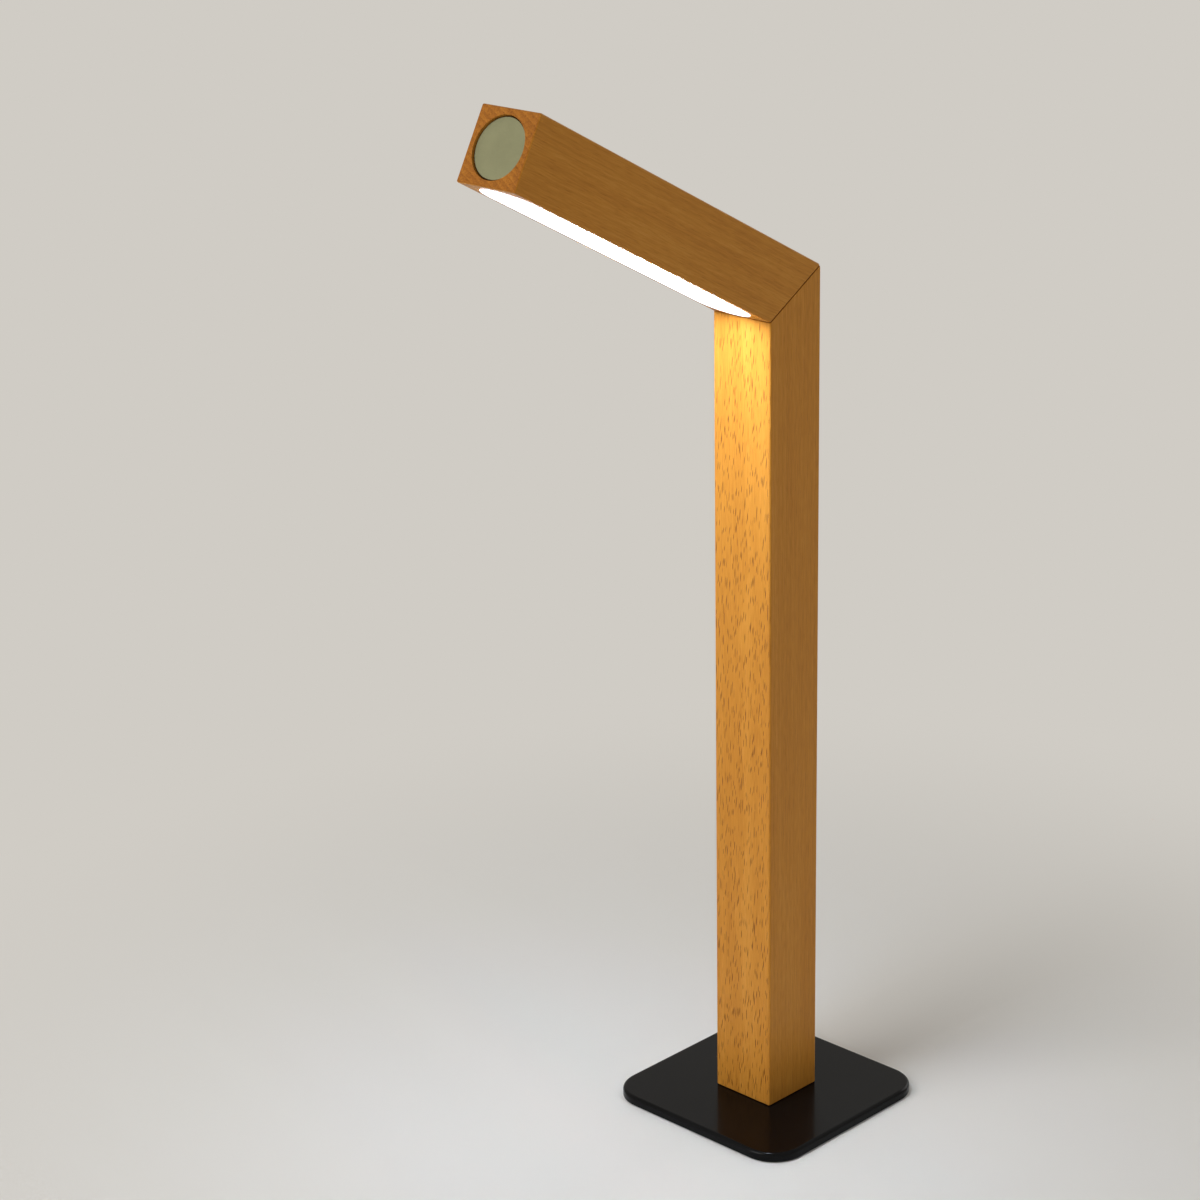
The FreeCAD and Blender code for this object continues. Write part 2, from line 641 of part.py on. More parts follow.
def board_parts():
    chips = []
    for x_share, y_share, width_share, depth_share, height_share in BOARD_PART_SHARES:
        width = width_share * BOARD_RADIUS
        depth = depth_share * BOARD_RADIUS
        chip = block(-width / 2, width / 2, -depth / 2, depth / 2, 0, height_share * BOARD_PART_HEIGHT)
        chips.append(placed(chip, spot(x_share * BOARD_RADIUS, y_share * BOARD_RADIUS, BOARD_TOP)))
    return group(chips)


def usb_block(play, z_low, z_high):
    return rounded_block(USB_WIDTH + 2 * play, USB_HEIGHT + 2 * play, USB_CORNER + play, z_low, z_high)


def usb_shell():
    shell = usb_block(0, USB_BACK, USB_FRONT)
    hollow = usb_block(-USB_WALL, USB_BACK + USB_WALL, USB_FRONT + OVERRUN)
    return placed(shell.cut(hollow), PORT)


def usb_tongue():
    half_width = TONGUE_WIDTH / 2
    half_thick = TONGUE_THICK / 2
    z_range = (USB_BACK + USB_WALL, USB_FRONT - TONGUE_SETBACK)
    return placed(block(-half_width, half_width, -half_thick, half_thick, *z_range), PORT)


def port_sleeve():
    # A flange near the back face of the post, and a nose whose floor frames the mouth of the socket
    flange = port_block(SLEEVE_WALL, SLEEVE_BACK, SLEEVE_FRONT)
    nose = port_block(-SEAT_PLAY, NOSE_BACK, SLEEVE_FRONT)
    hollow = port_block(-NOSE_WALL, NOSE_FLOOR, SLEEVE_FRONT + OVERRUN)
    mouth = usb_block(SEAT_PLAY, NOSE_BACK - OVERRUN, NOSE_FLOOR + OVERRUN)
    sleeve = flange.fuse(nose).removeSplitter().cut([hollow, mouth])
    return placed(sleeve.makeFillet(SLEEVE_ROUND, level_edges(sleeve, SLEEVE_FRONT)), PORT)


def battery_cell():
    can = disc(CELL_RADIUS, CELL_Z, CELL_Z + CELL_LENGTH)
    can = can.makeFillet(CELL_ROUND, level_edges(can, CELL_Z) + level_edges(can, CELL_Z + CELL_LENGTH))
    nub = disc(CELL_NUB_RADIUS, CELL_Z + CELL_LENGTH, HIGH_TAB_Z)
    return placed(can.fuse(nub), spot(0, CELL_Y, 0))


def battery_pads():
    pads = [disc(CELL_PAD_RADIUS, z, z + CELL_PAD_THICK, 0, CELL_Y) for z in (CELL_PAD_Z, HIGH_PAD_Z)]
    return group(pads)


def battery_tab(angle, z):
    # A strip from the middle of the cell to the lead at the given angle
    run = polar(WIRE_CIRCLE, angle).sub(Vector(0, CELL_Y, 0))
    strip = block(0, run.Length + WIRE_RADIUS, -TAB_WIDTH / 2, TAB_WIDTH / 2, z, z + TAB_THICK)
    return placed(strip, spot(0, CELL_Y, 0, Rotation(Z_AXIS, math.degrees(math.atan2(run.y, run.x)))))


def battery_tabs():
    return group(battery_tab(angle, z) for angle, z in zip(LEAD_ANGLES, (HIGH_TAB_Z, LOW_TAB_Z)))


def wire_foot(angle):
    # The last points of a wire that comes down beside the cell and ends on the charging board
    return [
        polar(WIRE_CIRCLE, angle, SHELF_Z),
        polar(WIRE_FOOT_CIRCLE, angle, BOARD_TOP + WIRE_FOOT_RISE),
        polar(WIRE_FOOT_CIRCLE, angle, BOARD_TOP),
    ]


def battery_leads():
    tops = zip(LEAD_ANGLES, (HIGH_TAB_Z, LOW_TAB_Z))
    return group(wire_along([polar(WIRE_CIRCLE, angle, z)] + wire_foot(angle)) for angle, z in tops)


def post_wire(x, angle):
    return wire_along([
        SWIVEL.multVec(Vector(x, 0, -WIRE_SPLIT / 2)),
        SWIVEL.multVec(Vector(x, 0, -WIRE_TURN_DOWN)),
        Vector(x, WIRE_BORE_Y, BORE_TOP),
        polar(WIRE_CIRCLE, angle, CHASSIS_TOP + WIRE_CLEARANCE),
    ] + wire_foot(angle))


def post_wires():
    return group(post_wire(x, angle) for x, angle in zip((WIRE_PITCH / 2, -WIRE_PITCH / 2), POST_WIRE_ANGLES))


# Swivel

def lower_plate():
    plate = disc(PLATE_RADIUS, -PLATE_SEAT, -HALF_GAP).fuse(disc(BOSS_RADIUS, -BOSS_END, -PLATE_SEAT))
    pin_hole = disc(STOP_PIN_RADIUS + SEAT_PLAY, -HALF_GAP - STOP_PIN_DEPTH, OVERRUN)
    cuts = [
        disc(SHAFT_RADIUS + SHAFT_PLAY, -BOSS_END - OVERRUN, OVERRUN),
        disc(SNAP_RING_RADIUS + SNAP_RING_PLAY, SNAP_RING_Z - SNAP_RING_PLAY,
             SNAP_RING_Z + SNAP_RING_THICK + SNAP_RING_PLAY),
        placed(pin_hole, Placement(polar(STOP_PIN_CIRCLE, STOP_PIN_ANGLE), Rotation())),
    ]
    plate = plate.removeSplitter().cut(cuts + plate_screw_holes(-HALF_GAP, UPSIDE_DOWN))
    return placed(plate, SWIVEL)


def lower_screws():
    screw = flat_screw(PLATE_SCREW_HEAD_RADIUS, PLATE_SCREW_RADIUS, PLATE_SCREW_LENGTH)
    spots = plate_screw_spots(-HALF_GAP, UPSIDE_DOWN)
    return group(placed(screw, SWIVEL.multiply(place)) for place in spots)


def stop_pin():
    pin = disc(STOP_PIN_RADIUS, -HALF_GAP - STOP_PIN_DEPTH, HALF_GAP + STOP_PIN_REACH)
    return placed(pin, SWIVEL.multiply(Placement(polar(STOP_PIN_CIRCLE, STOP_PIN_ANGLE), Rotation())))


def slip_washer():
    inner = STOP_PIN_CIRCLE + STOP_GROOVE_RADIUS
    washer = ring(PLATE_RADIUS - SLIP_WASHER_MARGIN, inner, -HALF_GAP, HALF_GAP - SLIP_PLAY)
    return placed(washer, SWIVEL)


def snap_ring():
    clip = open_ring(SNAP_RING_RADIUS, SNAP_RING_INNER_RADIUS, SNAP_RING_Z, SNAP_RING_Z + SNAP_RING_THICK,
                     SNAP_RING_OPEN_ANGLE)
    return placed(clip, SWIVEL)


def stop_groove():
    # The arc that the stop pin runs along, in the arm's plate, ending at both stops
    spare = math.degrees((LOOSE_PLAY - STOP_PLAY) / STOP_PIN_CIRCLE)
    first = STOP_PIN_ANGLE - SWING_FORWARD_ANGLE + spare
    last = STOP_PIN_ANGLE + SWING_BACK_ANGLE - spare
    middle = (first + last) / 2
    z = HALF_GAP - OVERRUN
    outer = STOP_PIN_CIRCLE + STOP_GROOVE_RADIUS
    inner = STOP_PIN_CIRCLE - STOP_GROOVE_RADIUS
    last_tip = polar(STOP_PIN_CIRCLE, last, z).add(polar(STOP_GROOVE_RADIUS, last + 90))
    first_tip = polar(STOP_PIN_CIRCLE, first, z).add(polar(STOP_GROOVE_RADIUS, first - 90))
    arcs = [
        Part.Arc(polar(outer, first, z), polar(outer, middle, z), polar(outer, last, z)),
        Part.Arc(polar(outer, last, z), last_tip, polar(inner, last, z)),
        Part.Arc(polar(inner, last, z), polar(inner, middle, z), polar(inner, first, z)),
        Part.Arc(polar(inner, first, z), first_tip, polar(outer, first, z)),
    ]
    outline = Part.Wire([arc.toShape() for arc in arcs])
    return Part.Face(outline).extrude(Vector(0, 0, OVERRUN + STOP_PIN_REACH + LOOSE_PLAY))


def upper_plate():
    plate = disc(PLATE_RADIUS, HALF_GAP, PLATE_SEAT)
    cuts = [disc(SHAFT_RADIUS + SEAT_PLAY, -OVERRUN, PLATE_SEAT + OVERRUN), stop_groove()]
    return placed(plate.cut(cuts + plate_screw_holes(HALF_GAP, Rotation())), SWIVEL)


def upper_screws():
    screw = flat_screw(PLATE_SCREW_HEAD_RADIUS, PLATE_SCREW_RADIUS, PLATE_SCREW_LENGTH)
    return group(placed(screw, SWIVEL.multiply(place)) for place in plate_screw_spots(HALF_GAP, Rotation()))


def swivel_shaft():
    shaft = disc(SHAFT_RADIUS, -SHAFT_END, FLANGE_TOP)
    shaft = shaft.makeChamfer(SHAFT_CHAMFER, level_edges(shaft, -SHAFT_END))
    shaft = shaft.fuse(disc(FLANGE_RADIUS, PLATE_SEAT, FLANGE_TOP)).removeSplitter()
    groove = ring(BOSS_RADIUS, SHAFT_RADIUS - SNAP_RING_BITE, SNAP_RING_Z - SNAP_RING_PLAY,
                  SNAP_RING_Z + SNAP_RING_THICK + SNAP_RING_PLAY)
    bore = disc(SHAFT_BORE_RADIUS, -SHAFT_END - OVERRUN, FLANGE_TOP + OVERRUN)
    return placed(shaft.cut([groove, bore]), SWIVEL)


# Light engine

def lens():
    plate = stadium(LENS_WIDTH, LENS_START, LENS_END, -LENS_PROUD, LENS_SEAT)
    plate = plate.makeFillet(LENS_ROUND, level_edges(plate, -LENS_PROUD))
    rib_outer = CHANNEL_WIDTH / 2 - LENS_PLAY
    ribs = [
        block(x, x + LENS_RIB_THICK, CARRIER_START, CARRIER_END, LENS_SEAT, LENS_SEAT + LENS_RIB_HEIGHT)
        for x in (-rib_outer, rib_outer - LENS_RIB_THICK)
    ]
    return placed(plate.fuse(ribs).removeSplitter(), ARM)


def carrier_screw_spots():
    ends = (CARRIER_START + CARRIER_SCREW_INSET, CARRIER_END - CARRIER_SCREW_INSET)
    return [spot(0, y, WEB_UNDER) for y in ends]


def carrier_screw_holes():
    hole = flat_screw_hole(CARRIER_SCREW_HEAD_RADIUS, CARRIER_SCREW_RADIUS, CARRIER_SCREW_LENGTH)
    return [placed(hole, place) for place in carrier_screw_spots()]


def led_carrier():
    web = block(-CARRIER_HALF, CARRIER_HALF, CARRIER_START, CARRIER_END, WEB_UNDER, CHANNEL_DEPTH)
    walls = [
        block(x, x + CARRIER_WALL, CARRIER_START, CARRIER_END, CHANNEL_DEPTH - CARRIER_DEPTH, CHANNEL_DEPTH)
        for x in (-CARRIER_HALF, CARRIER_HALF - CARRIER_WALL)
    ]
    return placed(web.fuse(walls).removeSplitter().cut(carrier_screw_holes()), ARM)


def carrier_screws():
    screw = flat_screw(CARRIER_SCREW_HEAD_RADIUS, CARRIER_SCREW_RADIUS, CARRIER_SCREW_LENGTH)
    return group(placed(screw, ARM.multiply(place)) for place in carrier_screw_spots())


def led_board():
    half = LED_BOARD_WIDTH / 2
    return placed(block(-half, half, LED_BOARD_START, LED_BOARD_END, LED_BOARD_UNDER, WEB_UNDER), ARM)


def leds():
    first = LED_BOARD_START + LED_EDGE
    pitch = (LED_BOARD_END - LED_EDGE - LED_LENGTH - first) / (LED_COUNT - 1)
    half = LED_WIDTH / 2
    starts = [first + pitch * i for i in range(LED_COUNT)]
    z_range = (LED_BOARD_UNDER - LED_HEIGHT, LED_BOARD_UNDER)
    return group(placed(block(-half, half, y, y + LED_LENGTH, *z_range), ARM) for y in starts)


def head_wire(x):
    high, low = arm_wire_ends()
    side = Vector(-x, 0, 0)
    return wire_along([
        SWIVEL.multVec(Vector(x, 0, WIRE_SPLIT / 2)),
        ARM.multVec(high.add(side)),
        ARM.multVec(low.add(side)),
        ARM.multVec(Vector(-x, LED_BOARD_START, LED_WIRE_HEIGHT)),
    ])


def head_wires():
    return group(head_wire(x) for x in (-WIRE_PITCH / 2, WIRE_PITCH / 2))


def switch_lead(x):
    start = ARM_LENGTH - CONTROL_BOARD_BACK
    drop_start = start - SWITCH_LEAD_RUN
    return wire_along([
        ARM.multVec(Vector(x, start, HALF_BAR)),
        ARM.multVec(Vector(x, drop_start, HALF_BAR)),
        ARM.multVec(Vector(x, drop_start - SWITCH_LEAD_DROP, LED_WIRE_HEIGHT)),
        ARM.multVec(Vector(x, LED_BOARD_END, LED_WIRE_HEIGHT)),
    ])


def switch_leads():
    return group(switch_lead(x) for x in (-WIRE_PITCH / 2, WIRE_PITCH / 2))


# Push switch

def button_cap():
    cap = disc(CAP_RADIUS, CAP_RECESS, CAP_BACK)
    cap = cap.makeFillet(CAP_ROUND, level_edges(cap, CAP_RECESS))
    stem = disc(STEM_RADIUS, CAP_BACK, STEM_END)
    groove = ring(2 * STEM_RADIUS, STEM_RADIUS - CLIP_BITE, CLIP_FRONT, CLIP_BACK)
    return placed(cap.fuse(stem).cut(groove), BUTTON)


def guide_screw_spots():
    return [spot(x, 0, CAP_WELL) for x in (-GUIDE_SCREW_CIRCLE, GUIDE_SCREW_CIRCLE)]


def guide_screw_holes():
    hole = flat_screw_hole(GUIDE_SCREW_HEAD_RADIUS, GUIDE_SCREW_RADIUS, GUIDE_SCREW_LENGTH)
    return [placed(hole, place) for place in guide_screw_spots()]


def button_guide():
    body = disc(GUIDE_RADIUS, CAP_WELL, CONTROL_BOARD_FRONT)
    flange = disc(GUIDE_FLANGE_RADIUS, CAP_WELL, GUIDE_SEAT)
    cuts = [
        disc(SPRING_SEAT_RADIUS, CAP_WELL - OVERRUN, GUIDE_FLOOR),
        disc(STEM_RADIUS + STEM_PLAY, CAP_WELL, CONTROL_BOARD_FRONT),
        disc(GUIDE_RADIUS - GUIDE_WALL, GUIDE_BACK, CONTROL_BOARD_FRONT + OVERRUN),
    ]
    return placed(body.fuse(flange).removeSplitter().cut(cuts + guide_screw_holes()), BUTTON)


def guide_screws():
    screw = flat_screw(GUIDE_SCREW_HEAD_RADIUS, GUIDE_SCREW_RADIUS, GUIDE_SCREW_LENGTH)
    return group(placed(screw, BUTTON.multiply(place)) for place in guide_screw_spots())


def button_spring():
    # A coil of quarter turns, from the back of the cap to the floor of its seat
    first = CAP_BACK + SPRING_WIRE_RADIUS + SEAT_PLAY
    last = GUIDE_FLOOR - SPRING_WIRE_RADIUS - SEAT_PLAY
    pitch = (last - first) / SPRING_TURNS

    def point(angle):
        return polar(SPRING_RADIUS, angle, first + pitch * angle / 360)

    starts = range(0, 360 * SPRING_TURNS, 90)
    turns = Part.Wire([Part.Arc(point(a), point(a + 45), point(a + 90)).toShape() for a in starts])
    section = Part.Wire(Part.makeCircle(SPRING_WIRE_RADIUS, point(0), turns.Edges[0].tangentAt(0)))
    return placed(turns.makePipeShell([section], True, False), BUTTON)


def button_clip():
    clip = open_ring(CLIP_RADIUS, STEM_RADIUS - CLIP_BITE, CLIP_FRONT, CLIP_BACK, CLIP_OPEN_ANGLE)
    return placed(clip, BUTTON)


def switch_plunger():
    return placed(disc(PLUNGER_RADIUS, STEM_END, PLUNGER_END), BUTTON)


def switch_body():
    half = SWITCH_SIDE / 2
    body = block(-half, half, -half, half, SWITCH_FRONT, CONTROL_BOARD_FRONT)
    well = disc(PLUNGER_RADIUS + PLUNGER_PLAY, SWITCH_FRONT - OVERRUN, CONTROL_BOARD_FRONT - SWITCH_FLOOR)
    return placed(body.cut(well), BUTTON)


def control_board():
    return placed(disc(GUIDE_RADIUS - SEAT_PLAY, CONTROL_BOARD_FRONT, CONTROL_BOARD_BACK), BUTTON)


PIECES = (
    base_plate, foot_pad, base_screws, post,
    power_chassis, charge_board, board_screws, board_parts, usb_shell, usb_tongue, port_sleeve,
    battery_cell, battery_pads, battery_tabs, battery_leads, post_wires,
    lower_plate, lower_screws, stop_pin, slip_washer, snap_ring,
    arm, upper_plate, upper_screws, swivel_shaft,
    lens, led_carrier, carrier_screws, led_board, leds, head_wires, switch_leads,
    button_cap, button_guide, guide_screws, button_spring, button_clip, switch_plunger, switch_body,
    control_board,
)


def save(piece):
    solids = piece().Solids
    shape = solids[0] if len(solids) == 1 else Part.makeCompound(solids)
    shape.exportStep("parts/" + piece.__name__ + ".step")
    volume = sum(solid.Volume for solid in solids)
    valid = all(solid.isValid() for solid in solids)
    print(f"{piece.__name__}: {len(solids)} solid(s), {volume:.1f} cubic mm, valid {valid}")


os.makedirs("parts", exist_ok=True)
for piece in PIECES:
    save(piece)
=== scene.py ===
import bpy
import json
import math
from mathutils import Matrix, Vector


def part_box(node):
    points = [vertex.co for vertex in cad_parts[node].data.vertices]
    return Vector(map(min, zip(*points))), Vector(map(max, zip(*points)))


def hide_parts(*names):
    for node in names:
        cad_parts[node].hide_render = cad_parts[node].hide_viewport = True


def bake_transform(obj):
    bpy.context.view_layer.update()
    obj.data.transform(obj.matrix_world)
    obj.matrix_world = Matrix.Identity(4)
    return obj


# Looks of a portable table lamp: a mitred beech bar on a black steel base, lit along the arm's underside.
# Metres and degrees, in the CAD model's own frame. Colours are red, green and blue from 0 to 255, and a
# texture's size is the width of one of its features along each axis.

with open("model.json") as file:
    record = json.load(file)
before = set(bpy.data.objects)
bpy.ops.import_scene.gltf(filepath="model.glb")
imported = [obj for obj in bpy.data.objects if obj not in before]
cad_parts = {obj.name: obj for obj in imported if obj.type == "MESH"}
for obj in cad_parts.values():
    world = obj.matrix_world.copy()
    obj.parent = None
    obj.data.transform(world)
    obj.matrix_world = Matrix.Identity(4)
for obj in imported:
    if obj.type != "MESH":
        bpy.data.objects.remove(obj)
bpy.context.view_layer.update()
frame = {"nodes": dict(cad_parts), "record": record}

MM = 0.001

# Camera at the photograph's place
CAMERA_PLACE = (0.8108, -0.9217, 0.6620)
CAMERA_AZIMUTH = 44.51
CAMERA_DIP = 19.57
CAMERA_ROLL = -1.0
CAMERA_LENS_MM = 95.76
CAMERA_SENSOR_MM = 36.0

# Studio
FLOOR_RADIUS = 9.0
FLOOR_SIDES = 96
FLOOR_COLOUR = (234, 231, 225)
FLOOR_ROUGHNESS = 0.8
BACKDROP_COLOUR = (208, 204, 197)
BACKDROP_NEAR = 0.08
BACKDROP_FAR = 0.46
SKY_COLOUR = (238, 236, 232)
SKY_STRENGTH = 0.38
KEY_PLACE = (-0.5, -1.8, 1.35)
KEY_SIDE = 1.3
KEY_WATTS = 21.0
BACK_PLACE = (0.1, 2.0, 1.0)
BACK_SIDE = 1.2
BACK_WATTS = 7.0
AIM_HEIGHT = 0.2

# The arm's slope, and the turn that lays the grain along it
ARM_TILT = 28.5
ALONG_ARM = (math.radians(ARM_TILT - 90), 0, 0)
ARM_GRAIN_SHIFT = (0.11, 0.02, 0.3)

# Beech: the tone of each colour, and the finish
BEECH_STOPS = ((0.0, (112, 58, 14)), (0.3, (176, 108, 34)), (0.58, (206, 139, 53)), (0.9, (227, 166, 80)))
BEECH_SHEEN = (255, 196, 128)
BEECH_SHINE = 0.35
BEECH_SMOOTH = 0.34
BEECH_ROUGH = 0.44
BEECH_RELIEF = 0.12 * MM
BEECH_RELIEF_SHARE = 0.7

# Beech: the tone to start from, and what each feature adds to it at most
BEECH_TONE = 0.24
STREAK_TONE = 0.3
FIBRE_TONE = 0.4
RING_TONE = -0.07
FLECK_TONE = -0.9
END_TONE = -0.24
END_RING_TONE = -0.06
END_PORE_TONE = -0.14

# Beech: sizes of the features
STREAK_SIZE = (5 * MM, 5 * MM, 120 * MM)
FIBRE_SIZE = (0.6 * MM, 0.6 * MM, 8 * MM)
PORE_SIZE = (0.3 * MM, 0.3 * MM, 9 * MM)
PORE_RANGE = (0.5, 0.7)
END_RANGE = (0.55, 0.9)
PITH_BEHIND = 95 * MM
PITH_BESIDE = 9 * MM
RING_STEP = 2.4 * MM
RING_WAVER = {"Distortion": 2.5, "Detail": 2.0, "Detail Scale": 0.15}

# Flecks: one in each cell of a scatter, its radius a share of the cell's step. They drift along the fibres,
# so that they lie in no rows, and their ends are pointed where the exponent FLECK_POINT is below 2. A random
# number divides each one's size within FLECK_SHRINK, and another fades it in across FLECK_CHANCE.
FLECK_STEP = (0.8 * MM, 9.4 * MM, 1.0)
FLECK_DRIFT_SIZE = (2.2 * MM, 90 * MM, 1.0)
FLECK_DRIFT = 45 * MM
FLECK_RADIUS = 0.185
FLECK_SOFT = 0.3
FLECK_POINT = 1.25
FLECK_SPREAD = 0.85
FLECK_SHRINK = (0.75, 1.5)
FLECK_CHANCE = (0.15, 0.6)
FLECK_SLANT = 0.05
FLECK_ON_FRONT = 0.85
FLECK_EVERYWHERE = 0.12
FLECK_RELIEF = -1.2

# Coats and mouldings by slot: colour, roughness, width and height of a speck, and how far the colour spreads
COATS = {
    "black_rubber": ((24, 24, 24), 0.75, 0.5 * MM, 0.05 * MM, 0.3),
    "black_plastic": ((26, 26, 27), 0.5, 0.3 * MM, 0.02 * MM, 0.3),
    "board_green": ((28, 92, 58), 0.35, 0.8 * MM, 0.01 * MM, 0.3),
    "board_white": ((232, 231, 226), 0.4, 0.8 * MM, 0.01 * MM, 0.04),
    "chip_black": ((30, 30, 31), 0.6, 0.2 * MM, 0.01 * MM, 0.3),
    "cell_wrap": ((58, 110, 160), 0.28, 3.0 * MM, 0.05 * MM, 0.08),
    "foam": ((62, 62, 62), 0.95, 0.6 * MM, 0.15 * MM, 0.3),
    "wire_cover": ((176, 42, 36), 0.42, 0.8 * MM, 0.01 * MM, 0.1),
    "slip_ring": ((52, 52, 53), 0.5, 0.4 * MM, 0.01 * MM, 0.3),
    "led_phosphor": ((246, 222, 120), 0.4, 0.3 * MM, 0.01 * MM, 0.04),
}
COAT_SHINE = 0.5
COAT_CLOUD_SPECKS = 40
COAT_SPECK_SHARE = 0.5
COAT_WANDER = 0.03
COAT_RELIEF_SHARE = 0.6

# The base's coat, less shiny than the others but under a thin gloss
BASE_COAT = ((7, 7, 8), 0.22, 0.35 * MM, 0.006 * MM, 0.3)
BASE_SHINE = 0.05
BASE_GLOSS = 0.14
GLOSS_ROUGHNESS = 0.09

# Bare metals by slot: colour, roughness, and the size and height of the fine marks
METALS = {
    "zinc_steel": ((206, 206, 202), 0.32, (0.8 * MM, 0.8 * MM, 0.8 * MM), 0.01 * MM),
    "socket_steel": ((214, 214, 210), 0.26, (0.3 * MM, 6 * MM, 0.3 * MM), 0.01 * MM),
    "nickel": ((216, 212, 202), 0.3, (0.3 * MM, 4 * MM, 4 * MM), 0.01 * MM),
    "carrier_aluminium": ((224, 224, 226), 0.34, (0.3 * MM, 30 * MM, 30 * MM), 0.01 * MM),
    "satin_metal": ((136, 135, 104), 0.46, (0.22 * MM, 0.22 * MM, 0.22 * MM), 0.02 * MM),
}
METAL_CLOUD = 9 * MM
METAL_MARK_SHARE = 0.6
METAL_DARK = 0.86
METAL_WANDER = 0.06
METAL_RELIEF_SHARE = 0.5

# Lit cover
OPAL_STOPS = ((0.2, (240, 236, 226)), (0.8, (248, 245, 238)))
OPAL_PATCH = 7.5 * MM
OPAL_ROUGHNESS = 0.35
GLOW_COLOUR = (222, 236, 255)
GLOW_STRENGTH = 74.0
GLOW_SEEN = 1.6
GLOW_HALF = 72 * MM
GLOW_FADE = 42 * MM
GLOW_END = 0.12

# The part of its range from 0 to 1 that a noise texture mostly keeps to
NOISE_LOW = 0.3
NOISE_HIGH = 0.7

# Detail of a noise texture, in octaves
PLAIN = 1.0
MEDIUM = 2.0
FINE = 3.0


def linear(colour):
    """A colour of 0 to 255 as the linear red, green, blue and alpha that shaders take."""
    parts = [value / 255 for value in colour]
    return [p / 12.92 if p <= 0.04045 else ((p + 0.055) / 1.055) ** 2.4 for p in parts] + [1.0]


